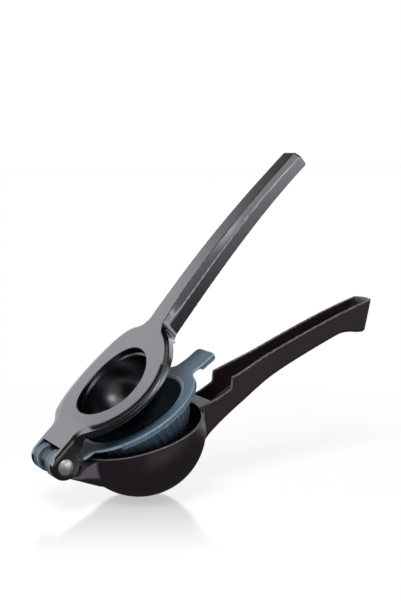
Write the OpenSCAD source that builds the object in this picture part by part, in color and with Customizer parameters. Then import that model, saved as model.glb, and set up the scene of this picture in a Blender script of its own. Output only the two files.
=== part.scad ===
// Hinged lemon squeezer: a bowl on a channel handle, a strainer cup that swings on the same pin,
// and a press arm whose dome is squeezed down into the cup. Millimetres.
// Every part is drawn shut, in the bowl's own frame: origin at the bowl's centre in its rim plane,
// +X towards the handles, +Z up. The parts are then opened on the pin, and the whole is pitched
// so that the handles rise and the bowl's underside touches z = 0.

/* [Bowl] */
// Outer radius of the juice bowl
bowl_r = 37; // [36:0.5:38]
// Wall of the juice bowl
bowl_wall = 1.9; // [1.6:0.1:2.2]
// Diameter of each juice outlet in the bottom of the bowl
outlet_d = 3.6; // [3:0.2:4]
// Number of outlets round the middle one
outlet_count = 6; // [4:1:8]

/* [Handles] */
// Distance from the bowl's centre to the end of the lower handle
lower_len = 166; // [160:1:170]
// Distance from the bowl's centre to the tip of the upper handle
upper_len = 168; // [164:1:172]
// Wall of the channel-shaped lower handle
channel_wall = 1.8; // [1.6:0.1:2]
// Half width of the upper handle
grip_half_w = 8.3; // [8:0.1:8.5]
// Wall of the hollow upper arm
shell_wall = 2.2; // [2:0.1:2.4]

/* [Hinge] */
// Distance from the bowl's centre back to the pin
pin_back = 51.5; // [51:0.1:52.5]
// Height of the pin above the rim plane
pin_up = 3.2; // [3:0.1:3.5]
// Radius of the pin's shank
pin_r = 2.5; // [2.3:0.1:2.7]
// Radius of the ears and of the strainer's eyes round the pin
ear_r = 7.6; // [7.4:0.1:7.8]

/* [Strainer] */
// Thickness of the flange and tongue
flange_t = 1.3; // [1.2:0.1:1.5]
// Outer radius of the cup over its ribs
cup_r = 31.2; // [30.8:0.1:31.4]
// Wall of the cup with its ribs
cup_wall = 1.9; // [1.7:0.1:2.1]
// Number of flutes between the ribs, every second one with a juice slot at its foot
flute_count = 42; // [24:2:42]
// Width of each flute
flute_w = 1.8; // [1.4:0.1:1.8]
// Depth of each flute
flute_depth = 0.7; // [0.5:0.1:0.9]
// Width of each juice slot
slot_w = 1.6; // [1.2:0.1:1.8]

/* [Pose] */
// How far the press arm stands open
press_open = 27.2; // [20:0.2:60]
// How far the strainer stands open
strainer_open = 13.6; // [2:0.2:14]
// Pitch of the bowl and its handle
rest_pitch = 15.2; // [0:0.1:20]

/* [Hidden] */
$fn = 96;
eps = 0.01;
far = 200;                          // longer than any part, for cutting

// Hinge stack along the pin, as half widths from the middle plane
knuckle_half = 4.5;                 // lower arm's knuckle
knuckle_r = 6.5;
eye_in = 5.1;                       // strainer's two eyes
eye_out = 10.4;
ear_in = 11;                        // press arm's two ears
ear_out = 15.5;
run_fit = 0.05;                     // radial clearance of what turns on the pin
sweep_gap = 0.4;                    // clearance of what passes the eyes and knuckle
head_r = 4.2;                       // domed ends of the pin
head_h = 1.4;
cap_depth = 3;                      // how deep the cap's stem sits in the pin
stem_r = 1.3;

// Bernstein curve: height at x for control heights h spread evenly from x0 to x1
function curve(h, x0, x1, x) =
    let (t = (x - x0) / (x1 - x0), s = 1 - t)
    h[0] * s * s * s + 3 * h[1] * s * s * t + 3 * h[2] * s * t * t + h[3] * t * t * t;
function steps(x0, x1, n) = [for (i = [0 : n]) x0 + (x1 - x0) * i / n];
// Larger of two values, filleted where they come within k of each other
function blend_max(a, b, k) = max(a, b) + pow(max(0, k - abs(a - b)), 2) / (4 * k);
// 0 up to x0, 1 from x1 on, straight between
function ramp(x0, x1, x) = min(1, max(0, (x - x0) / (x1 - x0)));
function mirror_y(points) =
    concat(points, [for (i = [len(points) - 1 : -1 : 0]) [points[i].x, -points[i].y]]);

// ---- Lower handle: heights of its top edge and underside, and its half width ----
root_x = 41;                        // where the channel's low walls start
cavity_x = 42.3;                    // front wall of its hollow
step_x = 56.2;                      // where they step up to full height
top_x = 58;
land_z = 2;                         // land between the bowl and the channel
root_half = 11.5;
tail_half = 8.5;
taper_end = 89;                     // the root's width has run out here
heel_x = 153.5;                     // lowest point of the hooked end
heel_end = [156.5, 2.7];
end_lean = 28.5;                    // the end face leans out at its top
end_bow_r = 30;                     // and is bowed across
end_top_z = 18.6;                   // where it reaches lower_len
end_wall = 1.9;
lower_top = [10.3, 14.5, 19.9, 19.8];
lower_under = [-15.5, 0.3, 3.4, 7.1];
under_x0 = 36;
under_x1 = 138;
function taper(x) = let (t = ramp(top_x, taper_end, x)) (1 - t) * (1 - t) * (1 + 2 * t);
function lower_half(x) = tail_half + (root_half - tail_half) * taper(x);

// ---- Press arm: the same for its crown, shoulders and lower edge ----
plate_x = 0.7;                      // middle of the round plate
plate_z = 7.9;                      // its top at the middle
plate_sag = 0.004;                  // it is dished along x: higher by this much times x squared
plate_flat_r = bowl_r;
plate_r = bowl_r + 2.3;
plate_bevel = 1;
plate_fillet = 4;                   // how far the plate's outline blends into the neck and handle
plate_low = 4.4;                    // its underside at the middle
plate_low_sag = 0.002;
neck_half = 15.5;
neck_edge = 0.8;
neck_x = -46.2;                     // front wall of the gap between the ears
neck_crown = [10.8, 11.3, 11.3, 11.3];
neck_x1 = -29;
neck_under = 2.6;
crown_x0 = 30;                      // the handle's crown rises out of the plate here
flank_x0 = 38;                      // and its flanks start here
crown = [11.5, 20.4, 22.4, 22];
shoulder = [9.4, 15.2, 20.9, 19];
grip_under = [1.8, 8.1, 13.6, 12.7];
root_bevel = 3.1;                   // from crown to shoulder at flank_x0
flat_tip = 5;                       // half width of the crown's flat at the tip
flat_swell = 1.3;                   // wider by this much at the root
flat_flare = 2.8;                   // and by this much more, halved every flare_x
flare_x = 8;
flat_x_min = 34;                    // nearer the plate the crown gets no wider
hollow_x0 = 42;                     // the handle is hollow from here
dome_r = 24.9;
dome_in_r = 22.3;
dome_z = 5;
lip = 1.2;                          // the dome's mouth is this much wider

function plate_top(x) = plate_z + plate_sag * x * x;
function plate_bottom(x) = plate_low + plate_low_sag * x * x;
function disc(r, x) = abs(x - plate_x) < r ? sqrt(r * r - (x - plate_x) * (x - plate_x)) : 0;
function side_half(x) = x < 0 ? neck_half : grip_half_w;
function grip_flat(x) =
    let (r = ramp(flank_x0, upper_len, x))
    flat_tip + flat_swell * (1 - r * r) + flat_flare * pow(2, (flank_x0 - x) / flare_x);
function top_half(x) = x < 0 ? neck_half - neck_edge : grip_flat(max(x, flat_x_min));
function arm_half(x) = blend_max(disc(plate_r, x), side_half(x), plate_fillet);
function arm_flat(x) =
    min(arm_half(x) - neck_edge, blend_max(disc(plate_flat_r, x), top_half(x), plate_fillet));
function arm_top(x) =
    x < neck_x1 ? curve(neck_crown, -pin_back, neck_x1, x)
    : x < crown_x0 ? plate_top(x)
    : curve(crown, crown_x0, upper_len, x);
function edge_depth(x) =
    x < 0 ? neck_edge + (plate_bevel - neck_edge) * ramp(neck_x1, neck_x1 + plate_fillet, x)
    : plate_bevel + (root_bevel - plate_bevel) * ramp(flank_x0 - plate_fillet, flank_x0, x);
function arm_shoulder(x) =
    x < flank_x0 ? arm_top(x) - edge_depth(x)
    : curve(shoulder, flank_x0, upper_len, x);
function arm_under(x) =
    let (plate = plate_bottom(x))
    x < 0 ? neck_under + (plate - neck_under) * ramp(-plate_r, -plate_r + plate_fillet, x)
    : x < flank_x0 ? plate + (grip_under[0] - plate) * ramp(flank_x0 - plate_fillet, flank_x0, x)
    : curve(grip_under, flank_x0, upper_len, x);
function arm_section(x, wall) =
    let (w = arm_half(x) - wall, c = min(arm_flat(x) - wall / 2, w - neck_edge), t = arm_top(x) - wall,
         s = arm_shoulder(x) - wall, b = arm_under(x) - wall)
    [[x, -w, b], [x, -w, s], [x, -c, t], [x, c, t], [x, w, s], [x, w, b]];
// Neck, plate and handle; stations close up towards the plate's ends, where its outline turns fastest
plate_stations = [for (a = [-66 : 3 : 78]) plate_x + plate_r * sin(a)];
arm_stations = concat(
    steps(-pin_back, plate_stations[0] - 1, 6),
    plate_stations,
    steps(flank_x0 + 3, upper_len, 26));

// Closed skin through a row of sections that all have the same number of points
module loft(sections) {
    n = len(sections[0]);
    m = len(sections);
    sides = [for (i = [0 : m - 2], j = [0 : n - 1])
        let (a = i * n + j, b = i * n + (j + 1) % n)
        each [[a, b + n, a + n], [a, b, b + n]]];
    ends = [[for (j = [n - 1 : -1 : 0]) j], [for (j = [0 : n - 1]) (m - 1) * n + j]];
    polyhedron([for (s = sections) each s], concat(sides, ends));
}

// Solid of a side profile, given in x and z, reaching to half_w on both sides
module side_profile(points, half_w) {
    rotate([90, 0, 0]) translate([0, 0, -half_w]) linear_extrude(2 * half_w) polygon(points);
}

// Cylinder along the pin from y0 to y1
module on_pin(r, y0, y1) {
    translate([-pin_back, y0, pin_up]) rotate([-90, 0, 0]) cylinder(r = r, h = y1 - y0);
}

// The same on both sides of the middle plane
module both_sides() {
    children();
    mirror([0, 1, 0]) children();
}

// Turns a part about the pin from shut, then sets it in the object's resting frame
module place(open) {
    translate([0, 0, bowl_r]) rotate([0, -rest_pitch, 0])
        translate([-pin_back, 0, pin_up]) rotate([0, -open, 0]) translate([pin_back, 0, -pin_up])
            children();
}

// ---- Lower arm ----
module lower_outline(inset) {
    polygon(mirror_y([for (x = steps(under_x0 - 6, lower_len, 30)) [x, lower_half(x) - inset]]));
}

// All that lies past the bowed, leaning end face, or past one that is inset by a wall
module past_end(inset) {
    translate([lower_len, 0, end_top_z]) rotate([0, end_lean, 0]) difference() {
        translate([-end_bow_r / 2, -far / 2, -far / 2]) cube(far);
        translate([-end_bow_r, 0, -far]) cylinder(r = end_bow_r - inset, h = 2 * far);
    }
}

function lower_under_points(x0, lift) = concat(
    [for (x = steps(x0, under_x1, 16)) [x, curve(lower_under, under_x0, under_x1, x) + lift]],
    [for (p = [[142, 6.5], [146, 5.3], [150, 3.4], [heel_x, 2.4], heel_end]) [p.x, p.y + lift]]);

module lower_handle_solid() {
    profile = concat(
        [[26, -19], [31, -18.2]],
        lower_under_points(under_x0, 0),
        [[lower_len + 1, heel_end.y], [lower_len + 1, lower_top[3]]],
        [for (x = steps(lower_len, top_x, 20)) [x, curve(lower_top, top_x, lower_len, x)]],
        [[step_x, 4.6], [47, 2.4], [root_x, land_z], [34, land_z], [31, 0], [26, 0]]);
    difference() {
        intersection() {
            side_profile(profile, far);
            translate([0, 0, -far / 2]) linear_extrude(far) lower_outline(0);
        }
        past_end(0);
    }
}

module channel_cavity() {
    profile = concat(
        [[cavity_x, far / 2], [cavity_x, -7]],
        lower_under_points(50, channel_wall),
        [[lower_len, heel_end.y + channel_wall], [lower_len, far / 2]]);
    difference() {
        intersection() {
            side_profile(profile, far);
            translate([0, 0, -far / 2]) linear_extrude(far) lower_outline(channel_wall);
        }
        past_end(end_wall);
    }
}

// Wedge from the bowl back to the pin: each row is x, top half width, top, bottom half width, bottom
lug_rows = [
    [-48.5, 4.5, -7.4, 4.5, -8],
    [-43, 10, -7, 6.5, -11.7],
    [-40, 11.5, -4, 7.5, -13.8],
    [-33.5, 16, -1.4, 9.5, -18.3],
    [-28, 19, -1.2, 10.5, -20.3]];
function lug_section(r) =
    [[r[0], -r[3], r[4]], [r[0], -r[1], r[2]], [r[0], r[1], r[2]], [r[0], r[3], r[4]]];

module hinge_lug() {
    web = [[-47.6, -8.6], [-56.5, -0.9], [-pin_back, pin_up], [-46.2, -0.6], [-40, -4],
           [-34, -1.6], [-34, -14]];
    side_profile(web, knuckle_half);
    loft([for (r = lug_rows) lug_section(r)]);
    on_pin(knuckle_r, -knuckle_half, knuckle_half);
}

module lower_arm() {
    color([0.14, 0.12, 0.13])
    place(0) difference() {
        union() {
            difference() {
                sphere(bowl_r);
                translate([-far, -far, 0]) cube([2 * far, 2 * far, far]);
            }
            difference() {
                lower_handle_solid();
                channel_cavity();
            }
            hinge_lug();
        }
        // hollow of the bowl, open at the top
        sphere(bowl_r - bowl_wall);
        cylinder(r = bowl_r - bowl_wall, h = far);
        // juice outlets
        translate([0, 0, -bowl_r - 1]) cylinder(d = outlet_d, h = 10);
        for (i = [0 : outlet_count - 1]) rotate([0, 0, i * 360 / outlet_count])
            translate([2 * outlet_d, 0, -bowl_r - 1]) cylinder(d = outlet_d, h = 10);
        on_pin(pin_r + run_fit, -far, far);
    }
}

// ---- Press arm ----
module press_arm_skin() {
    difference() {
        loft([for (x = arm_stations) arm_section(x, 0)]);
        // hollow of the handle, open below
        loft([for (x = steps(hollow_x0, upper_len - shell_wall, 26)) arm_section(x, shell_wall)]);
    }
}

module press_arm() {
    color([0.5, 0.52, 0.54])
    place(press_open) difference() {
        union() {
            press_arm_skin();
            // dome that presses the fruit, hung under the plate
            difference() {
                translate([0, 0, dome_z]) sphere(dome_r);
                translate([-far, -far, plate_z - 1]) cube([2 * far, 2 * far, far]);
            }
            both_sides() on_pin(ear_r, ear_in, ear_out);
        }
        // hollow of the dome with its wider mouth
        translate([0, 0, dome_z]) sphere(dome_in_r);
        translate([0, 0, dome_z]) cylinder(r = dome_in_r, h = far);
        translate([0, 0, dome_z]) cylinder(r1 = dome_in_r, r2 = dome_in_r + lip, h = lip);
        translate([0, 0, dome_z + lip]) cylinder(r = dome_in_r + lip, h = far);
        // gap between the ears, with room for the eyes to turn
        translate([neck_x - far, -ear_in, -far / 2]) cube([far, 2 * ear_in, far]);
        on_pin(ear_r + sweep_gap, -ear_in, ear_in);
        on_pin(pin_r, -far, far);
        // ears end in a half round
        both_sides() difference() {
            translate([-pin_back - far, ear_in - 1, -far / 2]) cube([far, far, far]);
            on_pin(ear_r, 0, far);
        }
        both_sides() translate([-pin_back - eps, ear_in - 1, -far])
            cube([ear_r, far, far + pin_up - ear_r]);
    }
}

// ---- Strainer cup ----
rim_r = bowl_r + 1;                 // outer radius of the flange
skirt_r = bowl_r + 0.35;            // its skirt hangs outside the bowl's rim
skirt_z = -1.6;
skirt_x = [-24, 34];                // the skirt runs between these, clear of tongue and tab
tongue_x = -41;                     // blunt shoulders of the tongue
tongue_half = 16;
tongue_drop = 0.7;                  // it dips towards the pin
tab_end = 54.8;
tab_half = 9.4;
tab_bend = 45.5;
tab_rise = 1.1;
tab_low = -1.9;                     // underside of the tab where it hangs into the lower handle
tab_corner = 3;
tab_fillet = 5;
flute_top = -2.8;                   // the flutes start under the flange
flute_foot = 19;                    // and end at this radius
slot_foot = 9.5;                    // the slots run from here
slot_end = 20.5;                    // to here, in the bottom of the cup

module strainer_outline() {
    circle(rim_r, $fn = 160);
    // tongue that carries the eyes
    polygon(mirror_y([[-20, 20], [-33.5, 16.4], [tongue_x, tongue_half], [tongue_x, 11.5], [-43.9, eye_out],
                      [-pin_back, eye_out]]));
    // lift tab, filleted into the flange
    translate([30, -tab_half]) square([tab_end - tab_corner - 30, 2 * tab_half]);
    translate([30, -tab_half + tab_corner]) square([tab_end - 30, 2 * (tab_half - tab_corner)]);
    both_sides() translate([tab_end - tab_corner, tab_half - tab_corner]) circle(tab_corner);
    both_sides() difference() {
        polygon([[30, tab_half - 1], [40.5, tab_half - 1], [40.5, tab_half + eps], [34.5, 15.8], [30, 20]]);
        translate([41.4, tab_half + tab_fillet]) circle(tab_fillet);
    }
}

module strainer_plate() {
    side = [[-pin_back, -tongue_drop], [tongue_x, -tongue_drop], [-34, 0], [41, 0], [42.8, -0.3],
            [tab_bend, tab_low], [tab_end + 1, tab_low + tab_rise], [tab_end + 1, tab_rise + flange_t],
            [tab_bend, flange_t], [-34, flange_t], [tongue_x, flange_t - tongue_drop],
            [-pin_back, flange_t - tongue_drop]];
    intersection() {
        side_profile(side, far);
        translate([0, 0, -far / 2]) linear_extrude(far) strainer_outline();
    }
}

module rim_skirt() {
    intersection() {
        translate([0, 0, skirt_z]) difference() {
            cylinder(r = rim_r, h = flange_t - skirt_z, $fn = 160);
            translate([0, 0, -eps]) cylinder(r = skirt_r, h = -skirt_z + eps, $fn = 160);
        }
        translate([skirt_x[0], -far / 2, -far / 2]) cube([skirt_x[1] - skirt_x[0], far, far]);
    }
}

// Half ball with ribs left standing between its flutes
module fluted_cup() {
    difference() {
        union() {
            sphere(cup_r - flute_depth);
            difference() {
                sphere(cup_r);
                for (i = [0 : flute_count - 1]) rotate([0, 0, (i + 0.5) * 360 / flute_count])
                    translate([flute_foot, -flute_w / 2, -cup_r - 1])
                        cube([cup_r, flute_w, cup_r + 1 + flute_top]);
            }
        }
        cylinder(r = far, h = far);
    }
}

module strainer_cup() {
    color([0.3, 0.38, 0.45])
    place(strainer_open) difference() {
        union() {
            strainer_plate();
            rim_skirt();
            fluted_cup();
            both_sides() on_pin(ear_r, eye_in, eye_out);
        }
        sphere(cup_r - cup_wall);
        cylinder(r = cup_r - cup_wall, h = far);
        translate([0, 0, 0.2]) cylinder(r1 = cup_r - cup_wall, r2 = cup_r, h = flange_t);
        // gap between the eyes for the knuckle
        on_pin(ear_r + sweep_gap, -eye_in, eye_in);
        both_sides() on_pin(ear_r + sweep_gap, eye_out + eps, far);
        translate([-pin_back - far, -eye_in, -far / 2]) cube([far, 2 * eye_in, far]);
        // juice slots in the bottom
        for (i = [0 : 2 : flute_count - 1]) rotate([0, 0, (i + 0.5) * 360 / flute_count])
            translate([slot_foot, -slot_w / 2, -cup_r - 1]) cube([slot_end - slot_foot, slot_w, cup_r / 2]);
        on_pin(pin_r + run_fit, -far, far);
    }
}

// ---- Pin ----
// Domed head from the ear's face outwards, on the +Y side
module pin_head() {
    dome = (head_r * head_r + head_h * head_h) / (2 * head_h);
    translate([-pin_back, ear_out, pin_up]) rotate([-90, 0, 0]) intersection() {
        cylinder(r = head_r, h = head_h);
        translate([0, 0, head_h - dome]) sphere(dome);
    }
}

module hinge_pin() {
    color([0.8, 0.8, 0.82])
    place(press_open) difference() {
        union() {
            on_pin(pin_r, -ear_out - eps, ear_out);
            mirror([0, 1, 0]) pin_head();
        }
        on_pin(stem_r, ear_out - cap_depth, far);
    }
}

module pin_cap() {
    color([0.8, 0.8, 0.82])
    place(press_open) {
        pin_head();
        on_pin(stem_r, ear_out - cap_depth, ear_out + eps);
    }
}

lower_arm();
press_arm();
strainer_cup();
hinge_pin();
pin_cap();
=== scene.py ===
import math

import bpy
import numpy as np
from mathutils import Matrix, Vector


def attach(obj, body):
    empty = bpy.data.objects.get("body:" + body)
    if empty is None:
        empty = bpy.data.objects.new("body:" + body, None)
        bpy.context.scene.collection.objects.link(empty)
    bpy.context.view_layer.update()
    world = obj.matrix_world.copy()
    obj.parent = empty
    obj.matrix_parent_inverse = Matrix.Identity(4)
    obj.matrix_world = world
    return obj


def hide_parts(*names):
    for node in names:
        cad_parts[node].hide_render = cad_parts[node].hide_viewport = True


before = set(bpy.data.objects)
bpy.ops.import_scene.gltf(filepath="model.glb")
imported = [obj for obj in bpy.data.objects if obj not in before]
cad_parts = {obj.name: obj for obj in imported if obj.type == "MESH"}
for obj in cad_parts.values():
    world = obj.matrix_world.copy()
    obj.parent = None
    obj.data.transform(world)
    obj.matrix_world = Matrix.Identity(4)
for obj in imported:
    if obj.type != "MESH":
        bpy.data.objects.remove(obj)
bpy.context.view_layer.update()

# ---- Lower arm ----
# The bowl, its hinge lug and the channel handle are one aluminium die casting with softly rounded
# edges, coated in brown-black satin enamel. It carries the pin, and all the rest turns on it.
# Every casting is drawn shut, in millimetres, as a distance field: negative inside, positive outside.
BOWL_R, BOWL_WALL = 37.0, 1.9
PIN_X, PIN_Z, PIN_R, PIN_PLAY = -51.5, 3.2, 2.5, 0.05
REST_PITCH, PRESS_OPEN, STRAINER_OPEN = 15.2, 27.2, 13.6
HANDLE_FROM, HANDLE_TOP_X, CHANNEL_X, CHANNEL_WALL = 24, 58.0, 42.3, 1.8
END_X, END_Z, END_LEAN, END_BOW_R, END_WALL = 165.8, 18.6, math.radians(28.5), 30.0, 1.9
KNUCKLE_R, KNUCKLE_HALF = 6.5, 4.5
LUG_FROM, LUG_TO = -49.5, -26
OUTLET_R, OUTLET_RING, OUTLET_COUNT = 1.8, 7.2, 6
LOWER_CELL = 0.66


def meet(a, b, r):
    """What two solids share, its new edge rounded by r."""
    return np.minimum(-r, np.maximum(a, b)) + np.hypot(np.maximum(a + r, 0), np.maximum(b + r, 0))


def join(a, b, r):
    """Two solids together, with a fillet of r where they cross."""
    return np.maximum(r, np.minimum(a, b)) - np.hypot(np.maximum(r - a, 0), np.maximum(r - b, 0))


def cut(a, b, r):
    """The first solid less the second, its new edge rounded by r."""
    return meet(a, -b, r)


def bezier(heights, x0, x1, x):
    """Height at x on a curve from x0 to x1, from its four control heights."""
    t = (x - x0) / (x1 - x0)
    s = 1 - t
    return heights[0] * s ** 3 + 3 * heights[1] * s * s * t + 3 * heights[2] * s * t * t + heights[3] * t ** 3


def eased(points, blur):
    """Height along x through the points, its corners eased over about blur."""
    step = 0.1
    xs, hs = zip(*points)
    grid = np.arange(xs[0] - 6 * blur, xs[-1] + 6 * blur, step)
    reach = np.arange(-3 * blur, 3 * blur + step / 2, step)
    weight = np.exp(-0.5 * (reach / blur) ** 2)
    line = np.pad(np.interp(grid, xs, hs), len(reach) // 2, mode="edge")
    line = np.convolve(line, weight / weight.sum(), mode="valid")[:len(grid)]
    return lambda x: np.interp(x, grid, line)


def over(height, x, z):
    """Distance above a line of the given height along x."""
    step = 0.1
    slope = (height(x + step) - height(x - step)) / (2 * step)
    return (z - height(x)) / np.hypot(1, slope)


def to_rest(opened):
    """From a casting's shut frame in millimetres to the object's resting frame in metres."""
    pin = Vector((PIN_X, 0, PIN_Z))
    return (Matrix.Scale(0.001, 4) @ Matrix.Translation((0, 0, BOWL_R))
            @ Matrix.Rotation(-math.radians(REST_PITCH), 4, "Y") @ Matrix.Translation(pin)
            @ Matrix.Rotation(-math.radians(opened), 4, "Y") @ Matrix.Translation(-pin))


def slope_of(field, points, h):
    """Gradient of the field at the points, over a step of h each way."""
    steps = np.eye(3) * h
    return np.stack([field(*(points + s).T) - field(*(points - s).T) for s in steps], 1) / (2 * h)


# No field climbs faster than this, so a block whose middle is far enough off the surface is skipped.
STEEPEST = 1.7
# The bend at which an edge counts as fully sharp, for the painted highlight along edges.
SHARP_BEND = 1.6


def cast(name, field, low, high, cell, opened, marks=()):
    """Closed mesh on a field's surface: one vertex in each crossed cell, pulled onto the surface.
    Each mark is a named field whose value at the points is kept for the material."""
    block, at_once = 8, 300
    cell = cell
    low = np.array(low, float)
    blocks = np.ceil((np.array(high) - low) / (cell * block)).astype(int)
    centres = [low[i] + (np.arange(blocks[i]) + 0.5) * block * cell for i in range(3)]
    rough = field(*np.meshgrid(*centres, indexing="ij"))
    values = rough
    for axis in range(3):
        values = np.repeat(values, block, axis)
    values = np.pad(values, ((0, 1),) * 3, mode="edge")
    near = np.argwhere(np.abs(rough) < STEEPEST * block * cell * math.sqrt(3) / 2)
    corner = np.arange(block + 1)
    corners = np.stack(np.meshgrid(corner, corner, corner, indexing="ij"), -1).reshape(-1, 3)
    for part in np.array_split(near, max(1, len(near) // at_once)):
        at = (part[:, None, :] * block + corners).reshape(-1, 3)
        values[tuple(at.T)] = field(*(low + at * cell).T)
    cells = np.array(values.shape) - 1
    rings, hits = [], []
    for a in range(3):
        b, c = (a + 1) % 3, (a + 2) % 3
        first = [slice(None)] * 3
        second = [slice(None)] * 3
        first[a], second[a] = slice(0, -1), slice(1, None)
        v0, v1 = values[tuple(first)], values[tuple(second)]
        at = np.argwhere((v0 < 0) != (v1 < 0))
        d0, d1 = v0[tuple(at.T)], v1[tuple(at.T)]
        hit = at.astype(float)
        hit[:, a] += d0 / (d0 - d1)
        ring = []
        for back_b, back_c in ((1, 1), (0, 1), (0, 0), (1, 0)):
            q = at.copy()
            q[:, b] -= back_b
            q[:, c] -= back_c
            ring.append(np.ravel_multi_index(tuple(q.T), cells))
        ring = np.stack(ring, 1)
        ring[d0 > 0] = ring[d0 > 0][:, ::-1]
        rings.append(ring)
        hits.append(np.repeat(hit, 4, 0))
    rings, hits = np.concatenate(rings), np.concatenate(hits)
    _, index = np.unique(rings.ravel(), return_inverse=True)
    count = np.bincount(index)
    points = np.stack([np.bincount(index, hits[:, k]) / count for k in range(3)], 1) * cell + low
    # a few short pulls along the gradient put each point on the surface
    limit = 0.35 * cell
    for _ in range(4):
        slope = slope_of(field, points, 0.02)
        shift = field(*points.T)[:, None] * slope / np.maximum((slope ** 2).sum(1), 0.3)[:, None]
        points -= np.clip(shift, -limit, limit)
    normals = slope_of(field, points, 0.03)
    normals /= np.maximum(np.linalg.norm(normals, axis=1), 1e-9)[:, None]
    reach = 0.35
    around = sum(field(*(points + s).T) + field(*(points - s).T) for s in np.eye(3) * reach)
    bend = (around - 6 * field(*points.T)) / reach ** 2
    place = to_rest(opened)
    mesh = bpy.data.meshes.new(name)
    quads = index.reshape(-1, 4)
    mesh.from_pydata(points.tolist(), [], quads.tolist())
    mesh.transform(place)
    mesh.shade_smooth()
    turned = normals @ np.array(place.to_3x3().normalized()).T
    mesh.normals_split_custom_set_from_vertices(turned.tolist())
    # the edge mark, where the materials paint highlights along edges
    kept = [("edge", np.clip(bend / SHARP_BEND, -1, 1))]
    kept += [(mark, measure(*points.T)) for mark, measure in marks]
    for mark, amount in kept:
        layer = mesh.attributes.new(mark, "FLOAT", "POINT")
        layer.data.foreach_set("value", amount.astype(np.float32))
    mesh.validate()
    piece = bpy.data.objects.new(name, mesh)
    bpy.context.scene.collection.objects.link(piece)
    return piece


lower_under = eased([(20, -28.4), (26, -23.5), (31, -18.9), (36, -15.5)]
                    + [(x, bezier((-15.5, 0.3, 3.4, 7.1), 36, 138, x)) for x in range(40, 137, 4)]
                    + [(138, 7.0), (142, 6.4), (146, 5.2), (150, 3.4)]
                    + [(153.5, 2.3), (156.5, 2.2), (170, 2.2)], 1.2)
lower_top = eased([(20, 2), (41, 2), (47, 2.4), (56, 4.5), (58.2, 10.5)]
                  + [(x, bezier((10.3, 14.5, 19.9, 19.8), 58, 166, x)) for x in range(61, 167, 3)], 0.35)


def lower_half(x):
    """Half the lower handle's width, flaring towards the bowl."""
    t = np.clip((x - HANDLE_TOP_X) / 31, 0, 1)
    return 8.5 + 3 * (1 - t) ** 2 * (1 + 2 * t)


lug_line = [-52, -48.5, -43, -40, -33.5, -28, -22]
lug_top_half = eased(list(zip(lug_line, (2.5, 4.8, 10, 11.5, 16, 19, 21))), 0.5)
lug_top = eased(list(zip(lug_line, (-7.6, -7.4, -7, -4, -1.4, -1.2, -1.2))), 0.5)
lug_low_half = eased(list(zip(lug_line, (2.5, 4.5, 6.5, 7.5, 9.5, 10.5, 11))), 0.8)
lug_low = eased(list(zip(lug_line, (-5.4, -8, -11.7, -13.8, -18.3, -20.3, -24))), 0.8)


def lower_field(x, y, z):
    y = np.abs(y)
    centre = np.sqrt(x * x + y * y + z * z)
    pin = np.hypot(x - PIN_X, z - PIN_Z)
    # handle: sides, top edge, underside and the leaning, bowed end face
    lean = (x - END_X) * math.cos(END_LEAN) - (z - END_Z) * math.sin(END_LEAN)
    end = np.hypot(np.maximum(lean + END_BOW_R, 0), y) - END_BOW_R
    sides = meet(y - lower_half(x), end, 1)
    under = -over(lower_under, x, z)
    handle = meet(meet(sides, under, 1.5), over(lower_top, x, z), 0.5)
    handle = np.maximum(handle, HANDLE_FROM - x)
    cavity = meet(y - lower_half(x) + CHANNEL_WALL, end + END_WALL, 1)
    cavity = meet(meet(cavity, under + CHANNEL_WALL, 1.2), CHANNEL_X - x, 1.2)
    handle = cut(handle, cavity, 0.45)
    # lug: a wedge from the bowl back to the knuckle; the web under the pin lies between two slants
    high, low = lug_top(x), lug_low(x)
    wide, slim = lug_top_half(x), lug_low_half(x)
    rise, splay = high - low, wide - slim
    flank = ((y - wide) * rise - (z - high) * splay) / np.hypot(rise, splay)
    lug = meet(meet(flank, z - high, 0.35), low - z, 0.6)
    lug = np.maximum(np.maximum(lug, LUG_FROM - x), x - LUG_TO)
    web = np.maximum(-(x + 47.6) * 0.654 - (z + 8.6) * 0.756, (x + 46.2) * 0.481 + (z + 0.6) * 0.877)
    web = np.maximum(np.maximum(web, x + 36), np.maximum(z + 0.5, low - z))
    web = meet(web, y - KNUCKLE_HALF, 0.4)
    knuckle = meet(pin - KNUCKLE_R, y - KNUCKLE_HALF, 0.4)
    # bowl, open at the top
    ball = join(join(meet(centre - BOWL_R, z, 0.5), lug, 0.8), handle, 1.2)
    hollow = np.where(z > 0, np.hypot(x, y), centre) - (BOWL_R - BOWL_WALL)
    body = cut(ball, hollow, 0.6)
    body = np.minimum(body, np.minimum(web, knuckle))
    turn = np.arctan2(y, x)
    pitch = 2 * math.pi / OUTLET_COUNT
    turn = turn - pitch * np.round(turn / pitch)
    flat = np.hypot(x, y)
    ring = np.hypot(flat * np.cos(turn) - OUTLET_RING, flat * np.sin(turn))
    holes = np.where(z < 0, np.minimum(flat, ring) - OUTLET_R, 9.0)
    body = cut(body, holes, 0.4)
    return cut(body, pin - PIN_R - PIN_PLAY, 0.3)


def lug_flank_reflection(x, y, z):
    """Where a painted reflection greys the lug: 1 on the upper half of its sides, 0 on the bowl and on the
    knuckle.
    """
    share = (z - lug_low(x)) / (lug_top(x) - lug_low(x))
    clear = np.clip((np.sqrt(x * x + y * y + z * z) - BOWL_R - 0.3) / 0.8, 0, 1)
    clear = clear * np.clip((-20 - x) / 2, 0, 1) * np.clip((np.abs(y) - KNUCKLE_HALF - 0.4) / 0.5, 0, 1)
    return clear * np.clip((share - 0.3) / 0.15, 0, 1)


# the lug mark carries the painted reflection on the lug's flank
lower_arm = cast("lower_arm_casting", lower_field, (-62, -40, -40), (172, 40, 24), LOWER_CELL, 0,
                 [("lug", lug_flank_reflection)])


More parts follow.
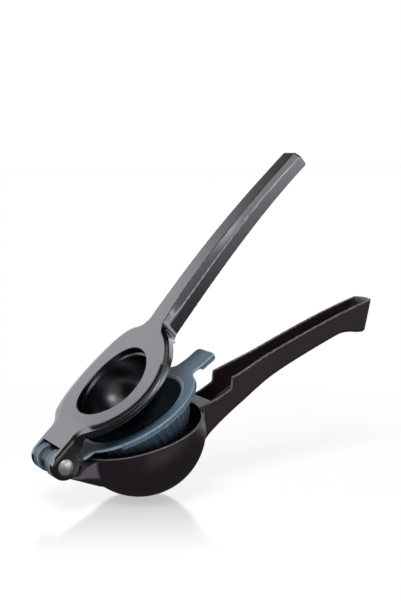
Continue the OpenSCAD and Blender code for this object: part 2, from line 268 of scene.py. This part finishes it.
class Signal:
    """A socket of a node tree. Sums and products of signals add their own Math nodes."""

    def __init__(self, tree, socket=None):
        self.tree, self.socket = tree, socket

    def node(self, kind, settings=None, sockets=None, out=0):
        """A new node with its settings and sockets; the signal of one output, if it has any."""
        made = self.tree.nodes.new(kind)
        for key, value in (settings or {}).items():
            setattr(made, key, value)
        for key, value in (sockets or {}).items():
            if isinstance(value, Signal):
                self.tree.links.new(value.socket, made.inputs[key])
            else:
                made.inputs[key].default_value = value
        return Signal(self.tree, None if out is None else made.outputs[out])

    def math(self, operation, a, b=0.0):
        return self.node("ShaderNodeMath", {"operation": operation}, {0: a, 1: b})

    def __add__(self, other):
        return self.math("ADD", self, other)

    def __sub__(self, other):
        return self.math("SUBTRACT", self, other)

    def __rsub__(self, other):
        return self.math("SUBTRACT", other, self)

    def __mul__(self, other):
        return self.math("MULTIPLY", self, other)

    __radd__, __rmul__ = __add__, __mul__

    def axis(self, number):
        return self.node("ShaderNodeSeparateXYZ", None, {0: self}, out=number)

    def into(self, shader, socket):
        self.tree.links.new(self.socket, shader.inputs[socket])

    def mark(self, name):
        return self.node("ShaderNodeAttribute", {"attribute_name": name}, out="Fac")

    def noise(self, scale, detail):
        at = self.node("ShaderNodeTexCoord", out="Object")
        return self.node("ShaderNodeTexNoise", None, {"Vector": at, "Scale": scale, "Detail": detail})

    def spread(self, value, low, high, to_low=0.0, to_high=1.0):
        return self.node("ShaderNodeMapRange", {"interpolation_type": "SMOOTHSTEP"},
                         {"Value": value, "From Min": low, "From Max": high,
                          "To Min": to_low, "To Max": to_high})

    def blend(self, factor, first, second):
        """The first colour where factor is 0, the second where it is 1."""
        first, second = (c if isinstance(c, Signal) else (*c, 1) for c in (first, second))
        return self.node("ShaderNodeMix", {"data_type": "RGBA"}, {0: factor, 6: first, 7: second}, out=2)

    def bump(self, height, strength, distance):
        return self.node("ShaderNodeBump", None,
                         {"Height": height, "Strength": strength, "Distance": distance})


def new_finish(name, **constants):
    material = bpy.data.materials.new(name)
    material.use_nodes = True
    shader = material.node_tree.nodes["Principled BSDF"]
    for socket, value in constants.items():
        shader.inputs[socket.replace("_", " ")].default_value = value
    return material, shader, Signal(material.node_tree)


# satin enamel, faintly mottled; a painted reflection makes the lug's flank greyer and a painted highlight
# greys the edges
dark_enamel, shader, s = new_finish("dark_enamel", Metallic=0.0, Specular_IOR_Level=0.5,
                                    Coat_Weight=0.2, Coat_Roughness=0.3)
mottle = s.noise(90, 3)
# painted highlight along the edges, broken up by noise
edge_highlight = s.spread(s.mark("edge") + s.noise(260, 3) * 0.4, 0.6, 1.3)
enamel = s.blend(mottle, (0.0120, 0.0072, 0.0106), (0.0156, 0.0094, 0.0138))
# painted reflection: the upper half of the lug's sides is greyer
enamel = s.blend(s.mark("lug"), enamel, (0.095, 0.086, 0.105))
s.blend(edge_highlight, enamel, (0.16, 0.15, 0.16)).into(shader, "Base Color")
(0.28 + mottle * 0.08 - edge_highlight * 0.06).into(shader, "Roughness")
s.bump(s.noise(1500, 2), 0.12, 0.0001).into(shader, "Normal")

lower_arm.data.materials.append(dark_enamel)
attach(lower_arm, "lower")
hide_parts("lower_arm")

# ---- Strainer ----
# The loose cup is one moulding of glass-filled nylon: a skirted flange with a tongue and two eyes on
# the pin, a lift tab opposite, and a ribbed cup with juice slots in its bottom, which hangs in the bowl.
CUP_R, CUP_WALL, FLUTE_DEPTH, FLANGE = 31.2, 1.9, 0.7, 1.3
RIM_R, SKIRT_R, SKIRT_Z, SKIRT_FROM, SKIRT_TO = 38.0, 37.35, -1.6, -24, 34
EAR_R, EYE_IN, EYE_OUT, SWEEP_GAP = 7.6, 5.1, 10.4, 0.4
TONGUE_X, TAB_END, TAB_HALF = -41, 54.8, 9.4
FLUTE_COUNT, FLUTE_WIDTH, FLUTE_TOP, FLUTE_FOOT = 42, 1.8, 2.8, 19.0
SLOT_WIDTH, SLOT_FROM, SLOT_TO = 1.6, 9.5, 20.5
STRAINER_CELL = 0.54

strainer_top = eased([(-60, 0.6), (-41, 0.6), (-34, 1.3), (45.5, 1.3), (57, 2.55)], 0.5)
strainer_low = eased([(-60, -0.7), (-41, -0.7), (-34, 0), (41.5, 0), (42.8, -0.4), (43.8, -1.9),
                      (57, -0.7)], 0.3)


def beyond(x, y, x0, y0, x1, y1):
    """Distance outside the line from the first point to the second, which runs towards +x."""
    return ((y - y0) * (x1 - x0) - (x - x0) * (y1 - y0)) / math.hypot(x1 - x0, y1 - y0)


def strainer_field(x, y, z):
    side = y
    y = np.abs(y)
    flat = np.hypot(x, y)
    centre = np.sqrt(x * x + y * y + z * z)
    pin = np.hypot(x - PIN_X, z - PIN_Z)
    # outline: round flange, tongue with blunt shoulders, lift tab filleted into the flange
    tongue = meet(beyond(x, y, -33.5, 16.4, -20, 20), beyond(x, y, -41, 16, -33.5, 16.4), 1)
    tongue = meet(tongue, TONGUE_X - x, 1)
    strip = np.minimum(y - EYE_OUT, np.maximum(beyond(x, y, -43.9, EYE_OUT, -41, 11.5), -43.9 - x))
    tongue = np.maximum(join(tongue, strip, 0.6), x)
    tab = np.maximum(meet(y - TAB_HALF, x - TAB_END, 3), -x)
    plan = join(join(flat - RIM_R, tongue, 0.5), tab, 3)
    plate = meet(meet(plan, over(strainer_top, x, z), 0.55), -over(strainer_low, x, z), 0.3)
    plate = meet(plate, PIN_X - x, 0.2)
    skirt = meet(meet(flat - RIM_R, SKIRT_R - flat, 0.15), SKIRT_Z - z, 0.15)
    skirt = np.maximum(np.maximum(skirt, z - 0.6), np.maximum(SKIRT_FROM - x, x - SKIRT_TO))
    shell = np.maximum(centre - CUP_R, z - 0.4)
    groove = meet(meet(CUP_R - FLUTE_DEPTH - centre, z + FLUTE_TOP, 0.3), FLUTE_FOOT - flat, 0.3)
    body = join(join(plate, skirt, 0.3), cut(shell, groove, 0.3), 1.0)
    slab = np.maximum(np.maximum(z - 0.6, -0.7 - z), np.maximum(PIN_X - x, x + 42))
    eyes = meet(join(pin - EAR_R, slab, 0.8), y - EYE_OUT, 0.3)
    body = np.minimum(body, eyes)
    hollow = np.where(z > 0, flat, centre) - (CUP_R - CUP_WALL)
    hollow = np.minimum(hollow, flat - CUP_R + (FLANGE + 0.2 - z) * CUP_WALL / FLANGE)
    body = cut(body, hollow, 0.5)
    room = np.maximum(np.minimum(pin - EAR_R - SWEEP_GAP, x - PIN_X), y - EYE_IN)
    body = cut(body, room, 0.3)
    body = cut(body, np.maximum(pin - EAR_R - SWEEP_GAP, EYE_OUT + 0.01 - y), 0.1)
    # juice slots in the bottom, one under every second flute
    pitch = 4 * math.pi / FLUTE_COUNT
    turn = np.arctan2(side, x) / pitch - 0.25
    turn = (turn - np.round(turn)) * pitch
    reach = np.maximum(SLOT_FROM - flat, flat - SLOT_TO)
    slots = meet(np.abs(flat * np.sin(turn)) - SLOT_WIDTH / 2, reach, 0.5)
    body = cut(body, np.maximum(slots, z + CUP_R / 2), 0.2)
    return cut(body, pin - PIN_R - PIN_PLAY, 0.3)


strainer = cast("strainer_moulding", strainer_field, (-62, -40, -34), (58, 40, 13), STRAINER_CELL,
                STRAINER_OPEN)


def rib_tree():
    """The cup's ribs: one bar for each flute, bent to the ball and rounded outside."""
    tree = bpy.data.node_groups.new("cup_ribs", "GeometryNodeTree")
    tree.is_modifier = True
    inputs = (("Geometry", "Geometry"), ("Count", "Int"), ("Ball radius", "Float"), ("Depth", "Float"),
              ("Flute width", "Float"), ("Top angle", "Float"), ("Foot angle", "Float"),
              ("Finish", "Material"))
    for name, kind in inputs:
        tree.interface.new_socket(name=name, in_out="INPUT", socket_type=f"NodeSocket{kind}")
    tree.interface.new_socket(name="Geometry", in_out="OUTPUT", socket_type="NodeSocketGeometry")
    s = Signal(tree)
    given = s.node("NodeGroupInput").socket.node
    value = {name: Signal(tree, given.outputs[name]) for name, _ in inputs}
    bar = s.node("GeometryNodeMeshCube", None,
                 {"Size": (2, 2, 1), "Vertices X": 7, "Vertices Y": 3, "Vertices Z": 16}, out="Mesh")
    at = s.node("GeometryNodeInputPosition")
    across, through, along = (at.axis(i) for i in range(3))
    # the outer face falls away to its sides, by just over half the rib's depth
    crown = 1 - across * across * across * across
    lift = (through + 1) * 0.5
    angle = value["Top angle"] + (along + 0.5) * (value["Foot angle"] - value["Top angle"])
    radius = value["Ball radius"] - value["Depth"] * (1 - lift * (0.45 + crown * 0.55))
    out = radius * s.math("COSINE", angle)
    half = out * s.math("DIVIDE", math.pi, value["Count"]) - value["Flute width"] * 0.5
    down = 0 - radius * s.math("SINE", angle)
    place = s.node("ShaderNodeCombineXYZ", None, {0: out, 1: across * half, 2: down})
    bent = s.node("GeometryNodeSetPosition", None, {"Geometry": bar, "Position": place})
    smooth = s.node("GeometryNodeSetShadeSmooth", None, {"Geometry": bent})
    points = s.node("GeometryNodePoints", None, {"Count": value["Count"]})
    turn = s.node("GeometryNodeInputIndex") * s.math("DIVIDE", 2 * math.pi, value["Count"])
    spin = s.node("ShaderNodeCombineXYZ", None, {2: turn})
    ring = s.node("GeometryNodeInstanceOnPoints", None,
                  {"Points": points, "Instance": smooth, "Rotation": spin})
    solid = s.node("GeometryNodeRealizeInstances", None, {"Geometry": ring})
    dressed = s.node("GeometryNodeSetMaterial", None, {"Geometry": solid, "Material": value["Finish"]})
    s.node("NodeGroupOutput", None, {0: dressed}, out=None)
    return tree


# satin nylon, slightly cloudy, with a painted highlight paling its edges
nylon, shader, s = new_finish("blue_grey_nylon", Metallic=0.0, IOR=1.5)
cloud = s.noise(60, 3)
# painted highlight along the edges
nylon_edge_highlight = s.spread(s.mark("edge"), 0.3, 1.0, 0.0, 0.7)
tint = s.blend(cloud, (0.057, 0.092, 0.132), (0.070, 0.111, 0.157))
s.blend(nylon_edge_highlight, tint, (0.26, 0.34, 0.40)).into(shader, "Base Color")
(0.36 + cloud * 0.12 - nylon_edge_highlight * 0.1).into(shader, "Roughness")
s.bump(s.noise(1400, 2), 0.16, 0.00008).into(shader, "Normal")
strainer.data.materials.append(nylon)

RIB_DEPTH = FLUTE_DEPTH + 0.4
MIDDLE_R = CUP_R - RIB_DEPTH / 2
ribs = bpy.data.objects.new("cup_ribs", bpy.data.meshes.new("cup_ribs"))
bpy.context.scene.collection.objects.link(ribs)
modifier = ribs.modifiers.new("ribs", "NODES")
modifier.node_group = rib_tree()
sizes = {"Count": FLUTE_COUNT, "Ball radius": CUP_R, "Depth": RIB_DEPTH, "Flute width": FLUTE_WIDTH,
         "Top angle": math.asin((FLUTE_TOP - 0.6) / MIDDLE_R),
         "Foot angle": math.acos((FLUTE_FOOT - 0.5) / MIDDLE_R), "Finish": nylon}
for item in modifier.node_group.interface.items_tree:
    if item.in_out == "INPUT" and item.name in sizes:
        modifier[item.identifier] = sizes[item.name]
rib_mesh = bpy.data.meshes.new_from_object(ribs.evaluated_get(bpy.context.evaluated_depsgraph_get()))
ribs.modifiers.clear()
ribs.data = rib_mesh
rib_mesh.transform(to_rest(STRAINER_OPEN))
bpy.ops.object.select_all(action="DESELECT")
ribs.select_set(True)
strainer.select_set(True)
bpy.context.view_layer.objects.active = strainer
bpy.ops.object.join()
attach(strainer, "strainer")
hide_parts("strainer_cup")

# ---- Press arm ----
# The dome, its round plate, the two ears and the bevelled handle are the second die casting, hollow
# under the handle and coated in grey metallic satin enamel. It swings down on the pin.
PLATE_X, PLATE_R, PLATE_FLAT_R = 0.7, 39.3, 37.0
NECK_HALF, NECK_EDGE, NECK_FRONT = 15.5, 0.8, -46.2
EAR_IN = 11.0
GRIP_HALF, GRIP_X, GRIP_END, SHELL = 8.3, 38.0, 168.0, 2.2
DOME_R, DOME_HOLLOW_R, DOME_Z, DOME_LIP = 24.9, 22.3, 5.0, 1.2
PRESS_CELL = 0.58


def crown(x):
    """Height of the upper handle's flat crown."""
    return bezier((11.5, 20.4, 22.4, 22), 30, GRIP_END, x)


arm_top = eased([(-60, 10.8), (-51.5, 10.8)]
                + [(x, bezier((10.8, 11.3, 11.3, 11.3), -51.5, -29, x)) for x in range(-49, -29, 4)]
                + [(x, 7.9 + 0.004 * x * x) for x in range(-29, 30, 3)]
                + [(x, crown(x)) for x in range(30, 172, 3)], 0.6)
arm_edge = eased([(-60, 0.8), (-29, 0.8), (-25, 1), (34, 1), (38, 3.1)]
                 + [(x, crown(x) - bezier((9.4, 15.2, 20.9, 19), 38, 168, x)) for x in range(41, 170, 5)],
                 0.8)
arm_under = eased([(-60, 2.6), (-39.3, 2.6)]
                  + [(x, 4.4 + 0.002 * x * x) for x in range(-35, 35, 3)]
                  + [(x, bezier((1.8, 8.1, 13.6, 12.7), 38, 168, x)) for x in range(38, 172, 5)], 0.6)


def grip_flat(x):
    """Half the width of the crown between its two bevels."""
    run = np.clip((x - GRIP_X) / (GRIP_END - GRIP_X), 0, 1)
    return 5 + 1.3 * (1 - run * run) + 2.8 * 2 ** ((GRIP_X - np.maximum(x, 34)) / 8)


def arm_field(x, y, z):
    y = np.abs(y)
    flat = np.hypot(x, y)
    pin = np.hypot(x - PIN_X, z - PIN_Z)
    disc = np.hypot(x - PLATE_X, y)
    side = join(disc - PLATE_R, np.where(x < 0, y - NECK_HALF, y - GRIP_HALF), 4)
    rim = join(disc - PLATE_FLAT_R, np.where(x < 0, y - NECK_HALF + NECK_EDGE, y - grip_flat(x)), 4)
    rim = np.maximum(rim, side + NECK_EDGE)
    drop, run = arm_edge(x), rim - side
    height = over(arm_top, x, z)
    top = np.where(x < PIN_X, pin - EAR_R, height)
    bevel = (run * top + drop * rim) / np.hypot(run, drop)
    under = -over(arm_under, x, z)
    low = np.maximum(under, PIN_X - x)
    low = np.where(x < -42, join(low, pin - EAR_R, 1.5), under)
    # the bevel's edges are softer on the plate than on the handle
    softness = np.where(x < 20, 1.0, 0.25)
    skin = meet(meet(meet(top, side, 0.25), bevel, softness), low, 0.3)
    skin = meet(skin, x - GRIP_END, 1.8)
    hollow = meet(meet(side + SHELL, height + SHELL, 1), bevel + SHELL, 0.8)
    hollow = meet(meet(hollow, GRIP_X + 4 - x, 1), x - GRIP_END + SHELL, 1)
    skin = cut(skin, hollow, 0.4)
    ball = np.sqrt(flat ** 2 + (z - DOME_Z) ** 2)
    skin = join(skin, np.maximum(ball - DOME_R, z - 5.5), 1.5)
    skin = cut(skin, dome_bore(x, y, z), 0.5)
    room = np.maximum(y - EAR_IN, np.minimum(x - NECK_FRONT, pin - EAR_R - SWEEP_GAP))
    skin = cut(skin, room, 0.3)
    return cut(skin, pin - PIN_R, 0.1)


def dome_bore(x, y, z):
    """Distance from the dome's hollow, whose mouth widens by a small lip."""
    flat = np.hypot(x, y)
    mouth = flat - np.clip(z - DOME_Z, 0, DOME_LIP)
    return np.where(z > DOME_Z, mouth, np.sqrt(flat ** 2 + (z - DOME_Z) ** 2)) - DOME_HOLLOW_R


# the dome's hollow is marked, for the painted shade laid in it
press_arm = cast("press_arm_casting", arm_field, (-62, -41, -23), (172, 41, 26), PRESS_CELL, PRESS_OPEN,
                 [("bore_shade", dome_bore)])

# fine metallic flake; painted shade darkens the dome's hollow, which is also duller, and a painted highlight
# pales the edges
grey_enamel, shader, s = new_finish("grey_enamel", Metallic=1.0)
flake = s.noise(2600, 1)
mottle = s.noise(70, 3)
# painted shade: the dome's hollow is darker, and rougher too
bore_shade = s.spread(s.mark("bore_shade"), 0.25, 0.9, 1.0, 0.0)
# painted highlight along the edges, broken up by noise
edge_highlight = s.spread(s.mark("edge") + s.noise(300, 3) * 0.4, 0.7, 1.4)
metal = s.blend(mottle, (0.240, 0.248, 0.264), (0.265, 0.273, 0.290))
metal = s.blend(edge_highlight, metal, (0.42, 0.43, 0.45))
s.blend(bore_shade, metal, (0.165, 0.160, 0.176)).into(shader, "Base Color")
(0.16 + mottle * 0.03 + bore_shade * 0.07).into(shader, "Roughness")
s.bump(flake, 0.02, 0.00005).into(shader, "Normal")
press_arm.data.materials.append(grey_enamel)
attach(press_arm, "press")
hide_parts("press_arm")

# ---- Pin ----
# A polished stainless steel pin through ears, eyes and knuckle, with a low domed head on one side and
# a domed cap pressed onto the other. It turns with the press arm.
steel, shader, s = new_finish("polished_steel", Metallic=0.9)
haze = s.noise(500, 3)
s.blend(haze, (0.74, 0.74, 0.73), (0.84, 0.84, 0.83)).into(shader, "Base Color")
(0.30 + haze * 0.14).into(shader, "Roughness")
s.bump(s.noise(1800, 2), 0.06, 0.00004).into(shader, "Normal")
for node in ("hinge_pin", "pin_cap"):
    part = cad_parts[node]
    part.data.materials.clear()
    part.data.materials.append(steel)

# ---- Studio ----
# A white floor runs out of sight and mirrors the object faintly where it stands. One lamp lights the
# matt surfaces. What the glossy ones mirror is painted in the world and in the floor: a low white
# backdrop behind, a soft box above, an upright strip and a few dim glows, with darkness between.
TO_CAMERA = (-0.4496, -0.893)
MIRROR, MIRROR_END = 0.36, 0.11
SHADOW_IN, SHADOW_OUT, SHADOW_WHITE = 0.12, 0.35, 0.8
DARK = 0.012

floor_mesh = bpy.data.meshes.new("floor")
floor_mesh.from_pydata([(-6, -6, 0), (6, -6, 0), (6, 6, 0), (-6, 6, 0)], [], [(0, 1, 2, 3)])
floor = bpy.data.objects.new("floor", floor_mesh)
bpy.context.scene.collection.objects.link(floor)
paper = bpy.data.materials.new("white_floor")
paper.use_nodes = True
tree = paper.node_tree
tree.nodes.clear()
s = Signal(tree)
path = s.node("ShaderNodeLightPath").socket.node
camera_ray, glossy_ray, clear_ray = (Signal(tree, path.outputs[f"Is {kind} Ray"])
                                     for kind in ("Camera", "Glossy", "Transmission"))
at = s.node("ShaderNodeNewGeometry", out="Position")
nearer = at.axis(0) * TO_CAMERA[0] + at.axis(1) * TO_CAMERA[1]
matt = s.node("ShaderNodeBsdfDiffuse", None, {"Color": (0.85, 0.85, 0.85, 1)})
white = s.node("ShaderNodeEmission", None, {"Color": (1, 1, 1, 1), "Strength": 1.0})
away = s.node("ShaderNodeVectorMath", {"operation": "LENGTH"}, {0: at}, out="Value")
plain = camera_ray * s.spread(away, SHADOW_IN, SHADOW_OUT, SHADOW_WHITE, 1.0)
sheet = s.node("ShaderNodeMixShader", None, {0: plain, 1: matt, 2: white})
gloss = s.node("ShaderNodeBsdfGlossy", None, {"Color": (1, 1, 1, 1), "Roughness": 0.12})
shine = camera_ray * s.spread(nearer, 0.0, MIRROR_END, MIRROR, 0.0)
seen = s.node("ShaderNodeMixShader", None, {0: shine, 1: sheet, 2: gloss})
# in the enamel the floor is white behind the object, dark beneath it and grey far in front, with a
# soft bright band just in front of the bowl
band = s.spread(nearer, 0.045, 0.065) * s.spread(nearer, 0.075, 0.1, 0.5, 0.0)
band = band * s.spread(at.axis(0), -0.024, -0.008)
sheen = s.spread(nearer, -0.2, -0.08, 1.0, 0.04) + band + s.spread(nearer, 0.2, 1.2, 0.0, 0.38)
shade = s.node("ShaderNodeEmission", None, {"Strength": sheen})
mirrored = s.math("MINIMUM", glossy_ray + clear_ray, 1.0)
mixed = s.node("ShaderNodeMixShader", None, {0: mirrored, 1: seen, 2: shade})
s.node("ShaderNodeOutputMaterial", None, {0: mixed}, out=None)
floor_mesh.materials.append(paper)

world = bpy.data.worlds.new("studio")
world.use_nodes = True
bpy.context.scene.world = world
tree = world.node_tree
s = Signal(tree)
straight = s.node("ShaderNodeLightPath", out="Is Camera Ray")
look = s.node("ShaderNodeTexCoord", out="Generated")
rise, depth = look.axis(2), look.axis(1)
backdrop = s.spread(rise, math.sin(math.radians(27)), math.sin(math.radians(35)), 1.0, 0.0)
light = s.math("MAXIMUM", backdrop * s.spread(depth, -0.1, 0.15), DARK)
# each glow: its direction, the angles in degrees within which it is full and beyond which it is gone,
# and its level. A wide soft box, its bright core, one for the plate's bevel, one in front, one low.
glows = (((-0.24, -0.38, 0.89), 6, 25, 0.75),
         ((-0.10, -0.68, 0.73), 3, 12, 3.3),
         ((-0.36, 0.42, 0.83), 2, 16, 0.32),
         ((-0.10, -0.90, 0.40), 8, 40, 0.32),
         ((0.63, -0.78, 0.0), 5, 46, 1.15))
for towards, inner, outer, level in glows:
    facing = s.node("ShaderNodeVectorMath", {"operation": "DOT_PRODUCT"},
                    {0: look, 1: tuple(Vector(towards).normalized())}, out="Value")
    edge, full = math.cos(math.radians(outer)), math.cos(math.radians(inner))
    light = s.math("MAXIMUM", light, s.spread(facing, edge, full, 0.0, level))
# the upright strip stands behind, a little towards the hinge, and fades upwards
aside = s.math("ABSOLUTE", look.axis(0) * 0.966 + depth * 0.259)
strip = s.spread(aside, 0.05, 0.12, 1.6, 0.0) * s.spread(rise, 0.2, 0.4, 1.0, 0.0)
strip = strip * s.spread(depth, -0.3, 0.0, 1.0, 0.0)
light = s.math("MAXIMUM", light, strip)
light = s.math("MAXIMUM", light, straight)
light.into(tree.nodes["Background"], "Color")

# the lamp is left out of mirrored rays, where the painted soft box stands for it
LAMP_AT, LAMP_AIM = Vector((-0.42, -0.40, 0.95)), Vector((0.02, 0, 0.08))
LAMP_SIDE, LAMP_WATTS = 0.45, 14
lamp = bpy.data.lights.new("softbox_front", "AREA")
lamp.shape = "RECTANGLE"
lamp.size, lamp.size_y = LAMP_SIDE, LAMP_SIDE
lamp.energy = LAMP_WATTS
holder = bpy.data.objects.new("softbox_front", lamp)
holder.location = LAMP_AT
holder.rotation_mode = "QUATERNION"
holder.rotation_quaternion = (LAMP_AIM - LAMP_AT).to_track_quat("-Z", "Y")
holder.visible_glossy = False
bpy.context.scene.collection.objects.link(holder)

# ---- Camera ----
# It stands about 0.6 m off on the side of the pin's head, a little above the end of the upper handle,
# and looks down by 8 degrees.
camera = bpy.data.objects.new("camera", bpy.data.cameras.new("camera"))
camera.location = (-0.2683, -0.5324, 0.19505)
camera.rotation_euler = [math.radians(a) for a in (81.84, 0, -30.07)]
camera.data.lens, camera.data.sensor_width = 66.3, 36
camera.data.shift_x, camera.data.shift_y = -0.0022, -0.0033
bpy.context.scene.collection.objects.link(camera)
bpy.context.scene.camera = camera
bpy.context.scene.view_settings.view_transform = "Standard"
